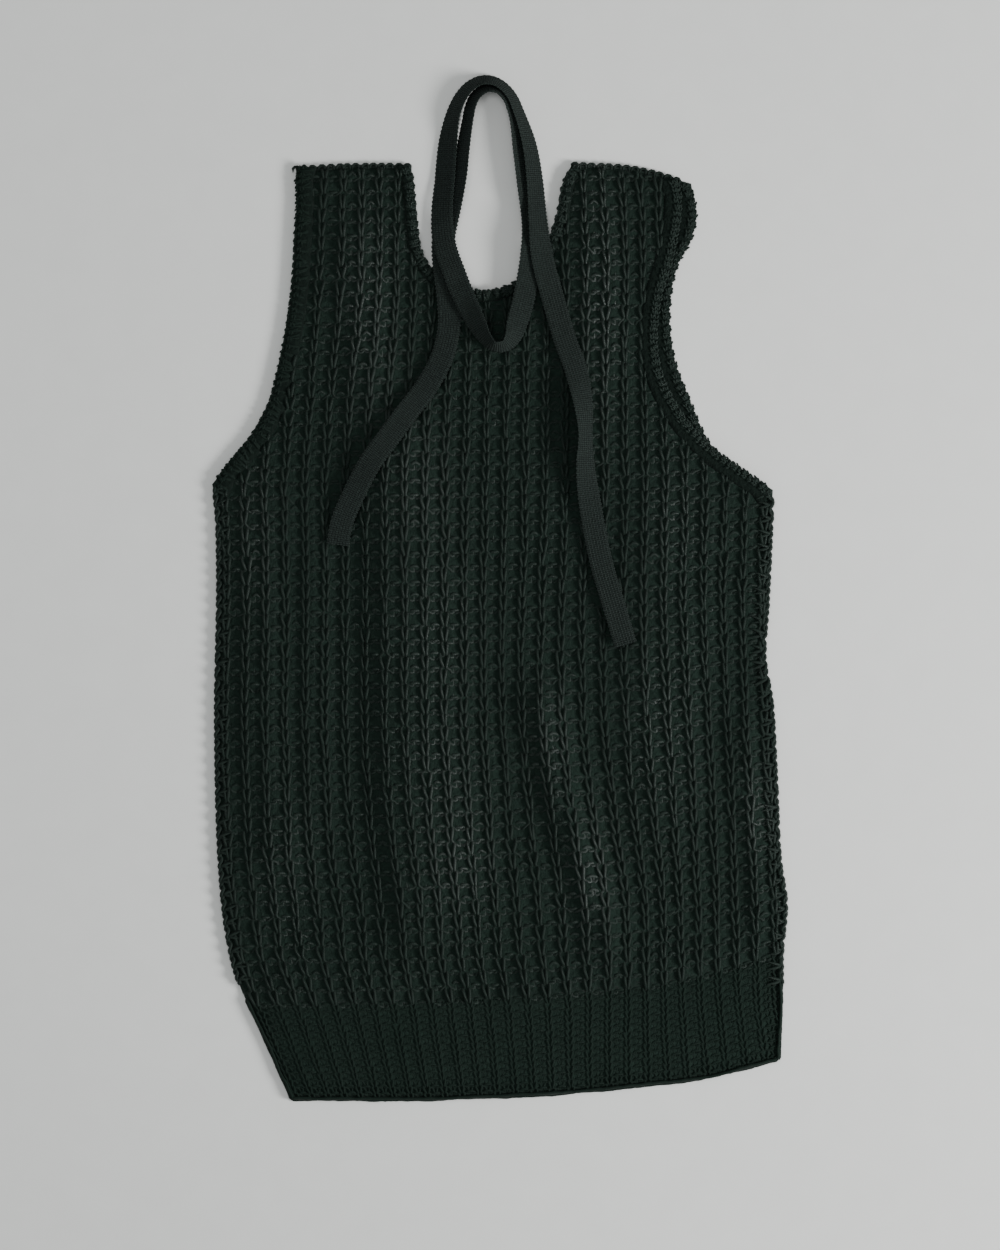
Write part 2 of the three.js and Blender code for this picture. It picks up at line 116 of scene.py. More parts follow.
# How unlike each other the stitches are. The first four are in wales or courses, the last in millimetres.
OPEN_SPREAD = 0.2
SHIFT_SPREAD = 0.035
RISE_SPREAD = 0.11
PURL_SPREAD = 0.12
OUT_SPREAD = 0.25

# Which part of a stitch, across it in wales, moves with the face wale and which with the purl wale
FACE_HALF = 0.3
PURL_FROM = 0.2
PURL_FADE = 0.3

# How unlike each other the short strands over an edge are
ARC_STRETCH = 0.06
ARC_SHIFT = 0.2
ARC_LIFT = 0.12
ARC_SCATTER = 0.25

# The edges go round the vest anticlockwise, so the cloth is always on their left. Columns: x, y.
HEM_EDGE = [(-150, -369.4), (-50, -369.4), (37, -365.5), (94, -360.5), (148, -354), (203, -340)]
RIGHT_SIDE = [
    (203, -340), (204.5, -291), (204.5, -263), (207.4, -227), (203, -195), (200, -131),
    (197, -81), (192, -50), (194, -15), (196, 25), (198, 71),
]
NEAR_RIGHT_ARMHOLE = [
    (198, 71), (176, 86), (155, 101), (139, 117), (126, 136), (117, 157),
    (114, 180), (117, 208), (126, 240), (131, 268), (131, 294),
]
FAR_RIGHT_ARMHOLE = [
    (198, 71), (176, 83), (158, 97), (147, 114), (138, 136), (129, 158),
    (124, 182), (124, 208), (129, 232), (139, 251), (142.6, 269), (139, 292),
]
NEAR_RIGHT_SHOULDER = [(131, 294), (119, 298), (94, 303.5), (52, 306)]
FAR_RIGHT_SHOULDER = [(139, 292), (119, 297.5), (94, 303), (52, 305.5)]
NECK_EDGE = [
    (52, 306), (45.5, 291), (42, 272), (36, 253), (25, 235), (10, 220), (-10, 214.5),
    (-31, 218.5), (-47, 229), (-55.5, 243), (-58.5, 262), (-60.5, 284), (-62.6, 305),
]
LEFT_SHOULDER = [(-62.6, 305), (-104, 305), (-147, 303)]
LEFT_ARMHOLE = [
    (-147, 303), (-146, 277), (-147.5, 251), (-149, 224), (-152, 197), (-156, 174),
    (-161, 152), (-167, 131), (-178, 111), (-192, 94), (-207.4, 75),
]
LEFT_SIDE = [
    (-207.4, 75), (-204.5, 58), (-203, 6), (-204.5, -95), (-202, -196), (-197, -247),
    (-189, -282), (-169, -327), (-157, -354), (-150, -369.4),
]
HEM_JOIN = [(-230, -300), (-122, -299), (-32, -296.5), (44, -292), (121, -284), (204, -262), (232, -254)]

# The outermost wales at each height. Columns: y, left, right.
WALE_GUIDES = [
    (-380, -146, 220), (-300, -181, 207), (-262, -194, 206), (-196, -202, 204),
    (-95, -204.5, 198), (0, -203, 196), (75, -205, 199), (315, -184, 186),
]

# The soft folds of the near panel, each a ridge. Columns: from x, from y, to x, to y, spread, rise.
FOLDS = [
    (-74, 110, -66, -236, 25, 5.5),
    (-46, 60, -34, -238, 30, 3.2),
    (30, -86, 72, -250, 18, 5.5),
    (112, 40, 118, -170, 28, 3.4),
    (178, -100, 188, -236, 12, 4),
    (-164, 60, -160, -190, 20, 3.4),
    (-104, 250, -96, 146, 18, 3.8),
    (68, 276, 74, 150, 18, 3.2),
    (-158, -280, -60, -284, 14, 3),
    (20, -279, 176, -256, 14, 2.8),
]

# Finer creases that the loops add to the folds. Columns: from x, from y, to x, to y, spread, rise.
CREASES = [
    (-113, 70, -109, -30, 17, -1.0),
    (-104, -50, -106, -140, 15, -1.1),
    (-94, -165, -82, -236, 19, -1.4),
    (-87, 50, -84, -150, 9, 1.5),
    (-84, -150, -66, -240, 8, 1.7),
    (2, -70, 12, -120, 14, -1.1),
    (16, -140, 34, -196, 17, -1.7),
    (42, -216, 60, -256, 18, -1.9),
    (31, -86, 41, -150, 9, 1.6),
    (41, -150, 80, -252, 9, 2.0),
    (-40, -60, -28, -200, 10, 0.9),
    (96, 10, 104, -150, 8, 1.1),
    (134, -20, 138, -160, 8, 1.0),
    (172, 30, 172, -60, 8, -1.6),
    (160, -160, 170, -250, 15, -1.6),
    (150, 60, 152, -40, 9, 1.2),
    (-152, 10, -150, -150, 8, -1.6),
    (-132, 60, -130, -170, 9, 1.9),
    (-184, 60, -182, -120, 8, 1.5),
    (-116, 84, -112, 40, 7, 1.3),
    (-126, 240, -122, 140, 11, -1.4),
    (-90, 230, -84, 150, 8, 1.3),
    (82, 240, 86, 150, 7, 1.2),
    (-62, -288, -22, -292, 13, -3.0),
    (-20, -312, 80, -316, 10, -1.8),
    (-60, -258, 40, -262, 9, 1.4),
]

# Where the cloth has slid sideways and carries its wales along. Columns: x, y, reach across, reach up, shift.
SWAYS = [
    (78, -235, 52, 70, 9),
    (30, -60, 40, 70, -3),
    (140, -120, 40, 80, 3),
    (-100, 215, 34, 60, 4),
    (90, 230, 30, 70, 3),
    (-80, -230, 50, 60, 5),
]

# Where the yarn is stretched smooth over a fold and shines. Columns: x, y, reach across, reach up, shine.
SHINES = [
    (-58, 76, 26, 48, 0.6),
    (-46, -34, 27, 58, 0.45),
    (-42, -128, 24, 34, 0.55),
    (-30, -194, 24, 42, 0.75),
    (38, -112, 13, 40, 0.7),
    (66, -208, 16, 44, 0.9),
    (-94, 202, 20, 66, 0.8),
    (72, 206, 14, 84, 0.85),
    (118, -96, 26, 70, 0.45),
    (184, -160, 10, 30, 0.7),
    (-176, 38, 12, 60, 0.5),
    (126, 52, 18, 46, 0.4),
    (-150, -196, 18, 46, 0.35),
]

# The tie's middle line from the left end to the right one. Columns: x, y, roll in degrees, lift.
TIE_ROUTE = [
    (-116, 31, 0, 0), (-113, 47, 0, 0), (-105, 66, 2, 0), (-93, 89, 4, 0), (-80, 107, 0, 0),
    (-66, 126, 0, 0), (-52, 145, 4, 0), (-41, 166, 3, 0), (-36, 188, 0, 0), (-37, 211, 0, 0),
    (-39.5, 232, 0, 0), (-40, 251, 6, 0), (-35.5, 270, 24, 0), (-29, 294, 46, 0), (-25.5, 318, 55, 0),
    (-22.4, 337, 60, 0), (-19.6, 348.7, 60, 0), (-13.4, 357.3, 60, 0), (-3.6, 359.4, 63, 0),
    (5.4, 353.2, 62, 0), (11.8, 338, 56, 0), (15, 315, 52, 0), (18.8, 288, 47, 0), (23, 261, 36, 0),
    (22.5, 236, 24, 0), (18.5, 211, 15, 0), (13, 190, 24, 0), (8, 176.5, 54, 0), (0, 171.8, 76, 0),
    (-9, 178, 58, 0.6), (-17, 191.5, 32, 2.9), (-25, 208, 14, 3.9), (-33, 228, 2, 4), (-39, 246, 3, 4.6),
    (-41, 269, 20, 3), (-39, 294, 28, 0.8), (-37, 318, 32, 0), (-33.2, 340, 50, 0), (-26, 355.2, 54, 0),
    (-15.4, 364.2, 58, 0), (-3.8, 364.4, 60, 0), (7.2, 356.4, 62, 0), (15, 340, 60, 0), (22, 318, 50, 0),
    (26, 290, 42, 0.6), (28, 262, 34, 1.6), (31, 237, 14, 2.4), (37.5, 212, 2, 0.8), (46.5, 181, 0, 0),
    (55.5, 155, 6, 0), (60.5, 131, 34, 0), (62, 109, 52, 0), (62, 87, 34, 0), (66, 56, 6, 0),
    (73, 20, 0, 0), (82, -11, 0, 0), (91, -41, 0, 0),
]

# Half a stitch of the rib, from the middle of a face wale to the middle of the purl wale beside it.
# Columns: across in wales, up in courses, out in millimetres.
FULL_LOOP = [
    (0.0, 1.03, -1.9), (0.11, 0.97, -1.7), (0.16, 0.86, -0.8), (0.152, 0.66, 0.6), (0.12, 0.4, 1.45),
    (0.08, 0.15, 1.3), (0.055, 0.01, 0.0), (0.11, -0.12, -1.3), (0.24, -0.2, -1.15), (0.38, -0.27, -0.85),
    (0.47, -0.26, -1.3), (0.42, 0.25, -2.0), (0.33, 0.8, -2.3), (0.28, 0.95, -2.0), (0.36, 1.04, -0.95),
    (0.5, 1.06, -0.55),
]
PLAIN_LOOP = [
    (0.0, 1.2, -1.0), (0.14, 0.98, 0.1), (0.13, 0.6, 1.2), (0.08, 0.12, 0.7), (0.15, -0.18, -0.6),
    (0.38, -0.36, -0.2), (0.45, 0.1, -1.5), (0.37, 0.85, -0.9), (0.5, 1.13, 0.4),
]

# How far the ends of an edge are drawn in at the vest's corners, and over what length
CORNER_CUT = 2.6
CORNER_REACH = 9

# The yarn that turns round an edge. Columns: into the cloth, along the edge, height.
SIDE_LOOP = [
    (11, -2.6, 5.9), (6.5, -1.6, 5.6), (2.4, -0.3, 4.6), (0.9, 0.4, 3.2), (1.5, 1.0, 2.1), (6, 2, 1.8),
]
SHOULDER_LOOP = [
    (4, -2.4, 4.2), (0.9, -2.2, 3.6), (-0.2, -0.9, 3.0), (-0.2, 0.9, 2.8), (0.9, 2.2, 3.3), (4, 2.4, 4.0),
]
SIDE_COURSE = 10.4
SIDE_END = -290
SHOULDER_PITCH = 6.2
SHOULDER_YARN = YARN * 0.85

# The links along a side fold. Columns: start in courses, height.
LINKS = ((0, 4.4), (0.5, 3.1))
LINK_STEP = 1.3
LINK_INTO = 1.5
LINK_SWING = 1.2
LINK_LIFT = 0.9
LINK_DRIFT = 0.6
LINK_DRIFT_STEPS = 12
LINK_END_GAP = 2

# Plain lengths of yarn along an edge, one over another. Columns: into the cloth, height, radius.
HEM_RIMS = ((1.0, 1.5, 1.05), (1.3, 3.1, 1.1), (2.2, 4.7, 1.1))
SHOULDER_RIMS = ((1.3, 1.4, 1.1), (2.0, 2.5, 1.0))
RIM_STEP = 2.0
RIM_DRIFT = 0.35
RIM_WINDOW = 9
RIM_LIFT_SHARE = 0.3
HEM_CORNER_REACH = 4

# The trims' rows of stitches. Columns: node, edge, reach, row pitch, row yarn, bead yarn, wave, wave pitch.
TRIMS = [
    ("left_armhole_trim_front", "left_armhole", 12.5, 2.7, 0.85, 0.75, 1.6, 5.4),
    ("left_armhole_trim_back", "left_armhole", 12.5, 2.8, 0.8, 0.7, 1.0, 5.8),
    ("right_armhole_trim_front", "near_right_armhole", 6.4, 2.9, 0.8, 0.8, 0.8, 8.6),
    ("right_armhole_trim_back", "far_right_armhole", 6.4, 2.9, 0.8, 0.8, 1.2, 8.6),
    ("neck_trim_front", "neck", 8.5, 2.4, 0.85, 0.8, 1.1, 7),
    ("neck_trim_back", "neck", 8.5, 2.8, 0.8, 0.7, 0.8, 7),
]
TRIM_STEP = 1.5
TRIM_FLOOR_GAP = 0.45
TRIM_LEAN = 0.9
TRIM_SCATTER = 0.3
ROWS_BELOW_TOP = 0.5
WAVE_DRIFT = 0.8
WAVE_DRIFT_LENGTH = 17
CORE_SINK = 0.55
CORE_FLOOR = 0.3

# The columns of little V stitches along a trim, and half of one V. Columns of the V: apart, along, sink.
BRAID_PITCH = 3.1
BRAID_COLUMNS = ((1.4, -1.0), (4.4, 0.0))
BRAID_STITCH = ((1.5, 1.9, 0.9), (1.2, 0.9, 0), (0.6, -0.6, 0), (0.1, -1.9, 0.9))
BRAID_BELOW_TOP = 0.7
BRAID_SCATTER = 0.2

# The tie's tape: its rows, ribs and knobbly edges
TAPE_STEP = 1.5
TAPE_RIBS = 8
TAPE_COLUMNS = 33
TAPE_RIB_DEPTH = 0.3
TAPE_SCALLOP = 0.05
TAPE_EDGE_POWER = 10

# A low lamp at the right and a weak one above. Columns: name, place, size, power, colour.
LIGHTS = [
    ("key", (1.85, -0.5, 1.15), 0.8, 66, (0.95, 1.0, 0.97)),
    ("fill", (-0.2, 0.3, 2.2), 1.2, 15, (0.94, 1.0, 0.98)),
]
LIGHT_TARGET = (0, -0.02, 0)
WORLD_COLOUR = (0.92, 1.0, 0.98, 1)
WORLD_STRENGTH = 0.4
FLOOR_REACH = 3.0

# The photo is 1000 by 1250 pixels, and a pixel of it is 0.72 mm on the vest
PIXEL = 0.72 * MM
PHOTO_HEIGHT = 1250
VIEW_MIDDLE = (0.0007, -0.0266)
LENS = 100
VIEW_DEPTH = 20


def smoothstep(value):
    value = np.clip(value, 0, 1)
    return value * value * (3 - 2 * value)


def hermite(start, end, leave, arrive, t):
    square = (3 * (end - start) - 2 * leave - arrive) * t**2
    cube = (2 * (start - end) + leave + arrive) * t**3
    return start + leave * t + square + cube


def with_end_knots(knots):
    return np.vstack([2 * knots[0] - knots[1], knots, 2 * knots[-1] - knots[-2]])


def fine_curve(knots, per_span=SPAN_POINTS):
    """A centripetal Catmull-Rom curve through the knots, and the knot number at each of its points."""
    ring = with_end_knots(knots)
    t = np.linspace(0, 1, per_span, endpoint=False)[:, None]
    points = []
    for p0, p1, p2, p3 in zip(ring, ring[1:], ring[2:], ring[3:]):
        before, here, after = (math.sqrt(np.linalg.norm(b - a)) for a, b in ((p0, p1), (p1, p2), (p2, p3)))
        leave = (p1 - p0) / before - (p2 - p0) / (before + here) + (p2 - p1) / here
        arrive = (p2 - p1) / here - (p3 - p1) / (here + after) + (p3 - p2) / after
        points.append(hermite(p1, p2, leave * here, arrive * here, t))
    number = np.arange(len(points) * per_span + 1) / per_span
    return np.vstack([*points, knots[-1:]]), number


def travelled(points):
    steps = np.linalg.norm(np.diff(points, axis=0), axis=1)
    return np.concatenate([[0], np.cumsum(steps)])


def resampled(points, at, values=None):
    """The values, or the points themselves, at these lengths along a line."""
    run = travelled(points)
    values = points if values is None else values
    return np.stack([np.interp(at, run, column) for column in np.atleast_2d(values.T)], axis=-1)


def smooth_line(rows):
    points, _ = fine_curve(np.array(rows, float))
    length = travelled(points)[-1]
    return resampled(points, np.linspace(0, length, max(3, round(length / OUTLINE_STEP))))


def bearings(line):
    """Unit directions along a flat line, and to the left of it."""
    along = np.gradient(line, axis=0)
    along /= np.linalg.norm(along, axis=1, keepdims=True)
    return along, np.stack([-along[:, 1], along[:, 0]], axis=1)


GRID_X = np.arange(-GRID_REACH_X, GRID_REACH_X + 1, GRID_STEP)
GRID_Y = np.arange(-GRID_REACH_Y, GRID_REACH_Y + 1, GRID_STEP)
GRID = np.meshgrid(GRID_X, GRID_Y)


class Field:
    """Values on the grid, read between its points by a call with x and y."""

    def __init__(self, values):
        self.values = values

    def __call__(self, x, y):
        across = np.clip((x - GRID_X[0]) / GRID_STEP, 0, len(GRID_X) - JUST_OVER_ONE)
        up = np.clip((y - GRID_Y[0]) / GRID_STEP, 0, len(GRID_Y) - JUST_OVER_ONE)
        i, j = across.astype(int), up.astype(int)
        s, t = across - i, up - j
        v = self.values
        low = v[j, i] * (1 - s) + v[j, i + 1] * s
        high = v[j + 1, i] * (1 - s) + v[j + 1, i + 1] * s
        return low * (1 - t) + high * t


def distance_to(line):
    nearest = np.full(GRID[0].shape, FAR_AWAY)
    for a, b in zip(line, line[1:]):
        step = b - a
        t = ((GRID[0] - a[0]) * step[0] + (GRID[1] - a[1]) * step[1]) / (step @ step)
        t = np.clip(t, 0, 1)
        nearest = np.minimum(nearest, np.hypot(GRID[0] - a[0] - t * step[0], GRID[1] - a[1] - t * step[1]))
    return nearest


def depth_inside(outline):
    """How far inside a closed outline each grid point is, less than 0 outside."""
    inside = np.zeros(GRID[0].shape, bool)
    for a, b in zip(outline, np.roll(outline, -1, axis=0)):
        if a[1] == b[1]:
            continue
        level = (a[1] > GRID[1]) != (b[1] > GRID[1])
        inside ^= level & (GRID[0] < (b[0] - a[0]) * (GRID[1] - a[1]) / (b[1] - a[1]) + a[0])
    distance = distance_to(np.vstack([outline, outline[:1]]))
    return np.where(inside, distance, -distance)


EDGES = {
    "hem": smooth_line(HEM_EDGE),
    "right_side": smooth_line(RIGHT_SIDE),
    "near_right_armhole": smooth_line(NEAR_RIGHT_ARMHOLE),
    "far_right_armhole": smooth_line(FAR_RIGHT_ARMHOLE),
    "near_right_shoulder": smooth_line(NEAR_RIGHT_SHOULDER),
    "far_right_shoulder": smooth_line(FAR_RIGHT_SHOULDER),
    "neck": smooth_line(NECK_EDGE),
    "left_shoulder": smooth_line(LEFT_SHOULDER),
    "left_armhole": smooth_line(LEFT_ARMHOLE),
    "left_side": smooth_line(LEFT_SIDE),
}
JOIN = smooth_line(HEM_JOIN)


def outline_with(side):
    order = ["hem", "right_side", side + "_right_armhole", side + "_right_shoulder"]
    order += ["neck", "left_shoulder", "left_armhole", "left_side"]
    return np.vstack([EDGES[name][1:] for name in order])


def past_bands(armhole):
    """How far each grid point is from one side's trims, less than 0 under them."""
    bands = ((armhole, ARM_TRIM), ("left_armhole", ARM_TRIM), ("neck", NECK_TRIM))
    return np.minimum.reduce([distance_to(EDGES[edge]) - width for edge, width in bands])


def ridges(rows):
    """The summed heights of long soft ridges and hollows."""
    height = np.zeros(GRID[0].shape)
    for from_x, from_y, to_x, to_y, spread, rise in rows:
        line = np.array([(from_x, from_y), (to_x, to_y)], float)
        height += rise * np.exp(-((distance_to(line) / spread) ** 2))
    return height


def patches(rows):
    """The summed values of soft oval patches."""
    total = np.zeros(GRID[0].shape)
    for x, y, across, up, by in rows:
        total += by * np.exp(-(((GRID[0] - x) / across) ** 2) - ((GRID[1] - y) / up) ** 2)
    return total


NEAR_OUTLINE = outline_with("near")
FAR_OUTLINE = outline_with("far")
near_depth = Field(depth_inside(NEAR_OUTLINE))
far_depth = Field(depth_inside(FAR_OUTLINE))
near_band = Field(past_bands("near_right_armhole"))
far_band = Field(past_bands("far_right_armhole"))
inward = smoothstep(near_depth.values / FOLD_FADE)
fold = Field(ridges(FOLDS) * inward)
creased_fold = Field(np.maximum(fold.values + ridges(CREASES) * inward, 0))
sway = Field(patches(SWAYS) * inward)
shine = Field(np.clip(patches(SHINES), 0, 1))


def join_at(x):
    return np.interp(x, JOIN[:, 0], JOIN[:, 1])


def hem_at(x):
    return np.interp(x, EDGES["hem"][:, 0], EDGES["hem"][:, 1])


def wale_x(u, y):
    """Where wale u of the vest passes a height."""
    guides = np.array(WALE_GUIDES, float)
    left = np.interp(y, guides[:, 0], guides[:, 1])
    right = np.interp(y, guides[:, 0], guides[:, 2])
    share = u / WALES
    below = np.maximum(0, HEM_TOP - y) / HEM_HEIGHT
    return left + (right - left) * share - HEM_SAG * below * np.sin(np.pi * np.clip(share, 0, 1))


def near_ground(x, y):
    """The height of the near cloth's underside, which rolls down at the vest's edges."""
    depth = np.maximum(near_depth(x, y), 0)
    rolled = 1 - smoothstep(depth / EDGE_ROUND)
    turn = 1 - np.sqrt(1 - (1 - np.clip(depth / SIDE_ROLL, 0, 1)) ** 2)
    return NEAR_BASE + creased_fold(x, y) - EDGE_DROP * rolled * NEAR_SHARE_OF_DROP - SIDE_DROP * turn


# The middle of a noise's range, which its colours and numbers are spread over
NOISE_LOW = 0.3
NOISE_HIGH = 0.7


class Shader:
    """A new material, with short ways to add nodes to it."""

    def __init__(self, name):
        self.material = bpy.data.materials.new(name)
        self.material.use_nodes = True
        self.nodes = self.material.node_tree.nodes
        self.place = self.nodes.new("ShaderNodeTexCoord")

    def link(self, value, socket):
        self.material.node_tree.links.new(value, socket)

    def uv(self):
        split = self.nodes.new("ShaderNodeSeparateXYZ")
        self.link(self.place.outputs["UV"], split.inputs[0])
        return split.outputs["X"], split.outputs["Y"]

    def math(self, operation, first, second=None):
        node = self.nodes.new("ShaderNodeMath")
        node.operation = operation
        for socket, value in zip(node.inputs, (first, second)):
            if isinstance(value, (int, float)):
                socket.default_value = value
            elif value is not None:
                self.link(value, socket)
        return node.outputs[0]

    def stretched(self, scale):
        node = self.nodes.new("ShaderNodeMapping")
        node.inputs["Scale"].default_value = scale
        self.link(self.place.outputs["Object"], node.inputs["Vector"])
        return node.outputs["Vector"]

    def noise(self, scale, detail, roughness=0.55, place=None):
        node = self.nodes.new("ShaderNodeTexNoise")
        node.inputs["Scale"].default_value = scale
        node.inputs["Detail"].default_value = detail
        node.inputs["Roughness"].default_value = roughness
        self.link(self.place.outputs["Object"] if place is None else place, node.inputs["Vector"])
        return node.outputs["Fac"]

    def number(self, factor, low, high):
        node = self.nodes.new("ShaderNodeMapRange")
        node.inputs["From Min"].default_value = NOISE_LOW
        node.inputs["From Max"].default_value = NOISE_HIGH
        node.inputs["To Min"].default_value = low
        node.inputs["To Max"].default_value = high
        self.link(factor, node.inputs["Value"])
        return node.outputs["Result"]

    def colour(self, factor, dark, light):
        ramp = self.nodes.new("ShaderNodeValToRGB")
        ends = ((NOISE_LOW, dark), (NOISE_HIGH, light))
        for element, (position, value) in zip(ramp.color_ramp.elements, ends):
            element.position = position
            element.color = (*value, 1)
        self.link(factor, ramp.inputs["Fac"])
        return ramp.outputs["Color"]

    def bump(self, height, distance, strength, below=None):
        node = self.nodes.new("ShaderNodeBump")
        node.inputs["Distance"].default_value = distance * MM
        node.inputs["Strength"].default_value = strength
        self.link(height, node.inputs["Height"])
        if below is not None:
            self.link(below, node.inputs["Normal"])
        return node.outputs["Normal"]

    def finish(self, colour, roughness, normal, sheen, specular):
        inputs = self.nodes["Principled BSDF"].inputs
        self.link(colour, inputs["Base Color"])
        self.link(roughness, inputs["Roughness"])
        self.link(normal, inputs["Normal"])
        inputs["Sheen Weight"].default_value = sheen
        inputs["Sheen Roughness"].default_value = 0.45
        inputs["Specular IOR Level"].default_value = specular
        return self.material


# The yarn's plies: a whole turn in this many millimetres, and how many there are
YARN_TWIST = 2.3
YARN_PLIES = 2.0

# How much glossier and duller than its roughness yarn is in places, and how much the large zones count
GLOSSIER = 0.12
DULLER = 0.3
ZONE_SHARE = 0.9

# Where the yarn is rubbed smooth it is less rough, and it gleams more than elsewhere
RUBBED_SMOOTHS = 0.16
RUBBED_GLEAM = 1.3
PLAIN_GLEAM = 0.62


def yarn_material(name, dark, light, roughness, sheen, specular):
    """Plied yarn. Its uv runs along the yarn in millimetres and once round it."""
    shader = Shader(name)
    run, turn = shader.uv()
    turns = shader.math("MULTIPLY", run, 1 / YARN_TWIST)
    around = shader.math("MULTIPLY", turn, YARN_PLIES)
    phase = shader.math("MULTIPLY", shader.math("ADD", turns, around), 2 * math.pi)
    plies = shader.math("ABSOLUTE", shader.math("SINE", phase))
    fibres = shader.noise(scale=2600, detail=2)
    blotches = shader.noise(scale=120, detail=3)
    specks = shader.noise(scale=1000, detail=2, roughness=0.7)
    mottle = shader.math("MULTIPLY", shader.math("ADD", blotches, specks), 0.5)
    colour = shader.colour(mottle, dark, light)
    zones = shader.noise(scale=1, detail=2, place=shader.stretched((17, 5, 0)))
    worn = shader.math("ADD", mottle, shader.math("MULTIPLY", zones, ZONE_SHARE))
    worn = shader.math("SUBTRACT", worn, ZONE_SHARE / 2)
    dull = shader.number(worn, roughness - GLOSSIER, roughness + DULLER)
    rubbed = shader.nodes.new("ShaderNodeAttribute")
    rubbed.attribute_name = "rubbed"
    smoothed = shader.math("MULTIPLY", rubbed.outputs["Fac"], RUBBED_SMOOTHS)
    dull = shader.math("SUBTRACT", dull, smoothed)
    gleam = shader.math("MULTIPLY", rubbed.outputs["Fac"], specular * RUBBED_GLEAM)
    gleam = shader.math("ADD", gleam, specular * PLAIN_GLEAM)
    normal = shader.bump(plies, distance=0.35, strength=0.55)
    normal = shader.bump(fibres, distance=0.12, strength=0.6, below=normal)
    material = shader.finish(colour, dull, normal, sheen, specular)
    shader.link(gleam, shader.nodes["Principled BSDF"].inputs["Specular IOR Level"])
    return material


def ground_material(name, dark, light):
    """The matt inside of the knit that shows between its loops."""
    shader = Shader(name)
    fibres = shader.noise(scale=900, detail=4)
    lumps = shader.noise(scale=330, detail=2)
    colour = shader.colour(lumps, dark, light)
    dull = shader.number(fibres, 0.85, 0.97)
    normal = shader.bump(lumps, distance=1.6, strength=1.0)
    normal = shader.bump(fibres, distance=0.5, strength=0.8, below=normal)
    return shader.finish(colour, dull, normal, sheen=0.05, specular=0.1)


# The tape's rows and ribs, in millimetres, how much they darken it, and how its roughness varies
TAPE_ROW = 1.5
TAPE_RIB = TIE_WIDTH / TAPE_RIBS / 2
TAPE_STITCH_SHARE = 0.13
TAPE_DULL_SPREAD = 0.08


def tape_material(name, dark, light, roughness):
    """Fine knit. Its uv runs along the tape and across it in millimetres."""
    shader = Shader(name)
    along, across = shader.uv()
    rows = shader.math("SINE", shader.math("MULTIPLY", along, 2 * math.pi / TAPE_ROW))
    ribs = shader.math("SINE", shader.math("MULTIPLY", across, 2 * math.pi / TAPE_RIB))
    fibres = shader.noise(scale=1800, detail=3)
    blotches = shader.noise(scale=800, detail=3, roughness=0.85)
    stitch = shader.math("MULTIPLY", shader.math("ADD", rows, ribs), TAPE_STITCH_SHARE)
    colour = shader.colour(shader.math("ADD", stitch, blotches), dark, light)
    dull = shader.number(blotches, roughness - TAPE_DULL_SPREAD, roughness + TAPE_DULL_SPREAD)
    normal = shader.bump(stitch, distance=2.0, strength=1.0)
    normal = shader.bump(fibres, distance=0.4, strength=0.9, below=normal)
    return shader.finish(colour, dull, normal, sheen=0.03, specular=0.12)


def floor_material():
    shader = Shader("plain_pale_floor")
    grain = shader.noise(scale=40, detail=3)
    colour = shader.colour(grain, (0.74, 0.71, 0.71), (0.76, 0.73, 0.73))
    normal = shader.bump(grain, distance=0.1, strength=0.1)
    return shader.finish(colour, shader.number(grain, 0.8, 0.9), normal, sheen=0.0, specular=0.2)


BODY_YARN = yarn_material("body_yarn", (0.0045, 0.0085, 0.0066), (0.0088, 0.0166, 0.0129), 0.46, 0.03, 0.26)
DULL_YARN = yarn_material("dull_yarn", (0.0055, 0.0104, 0.0081), (0.0082, 0.0152, 0.0118), 0.6, 0.02, 0.12)
TRIM_YARN = yarn_material("trim_yarn", (0.006, 0.0112, 0.0088), (0.01, 0.0182, 0.0145), 0.38, 0.03, 0.28)
GROUND = ground_material("knit_ground", (0.0066, 0.0126, 0.0099), (0.0105, 0.0195, 0.0153))
# A darker copy of the knit ground for the trims' insides: painted shade in the gaps between their rows
SHADED_BAND_GROUND = ground_material("band_ground_painted_shade", (0.0035, 0.0065, 0.0051), (0.0055, 0.01, 0.0079))
TAPE = tape_material("tie_tape_knit", (0.0036, 0.006, 0.0051), (0.0265, 0.036, 0.0326), 0.68)


def new_object(name, data):
    thing = bpy.data.objects.new(name, data)
    bpy.context.scene.collection.objects.link(thing)
    return thing


def root_piece(name, mesh, material):
    mesh.materials.append(material)
    piece = new_object(name, mesh)
    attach(piece, "root")
    return piece


def mesh_object(name, vertices, quads, uvs, material):
    """A mesh of quads from points in millimetres, shaded smooth, with the uvs of its corners."""
    used, corners = np.unique(quads.ravel(), return_inverse=True)
    mesh = bpy.data.meshes.new(name)
    mesh.vertices.add(len(used))
    mesh.vertices.foreach_set("co", (vertices[used] * MM).astype(np.float32).ravel())
    mesh.loops.add(len(corners))
    mesh.loops.foreach_set("vertex_index", corners.astype(np.int32))
    mesh.polygons.add(len(quads))
    mesh.polygons.foreach_set("loop_start", np.arange(0, len(corners), 4, dtype=np.int32))
    mesh.polygons.foreach_set("loop_total", np.full(len(quads), 4, np.int32))
    mesh.polygons.foreach_set("use_smooth", np.ones(len(quads), bool))
    mesh.uv_layers.new(name="along").data.foreach_set("uv", uvs.astype(np.float32).ravel())
    rubbed = shine(vertices[used, 0], vertices[used, 1]).astype(np.float32)
    mesh.attributes.new("rubbed", "FLOAT", "POINT").data.foreach_set("value", rubbed)
    mesh.update(calc_edges=True)
    mesh.validate()
    return root_piece(name, mesh, material)


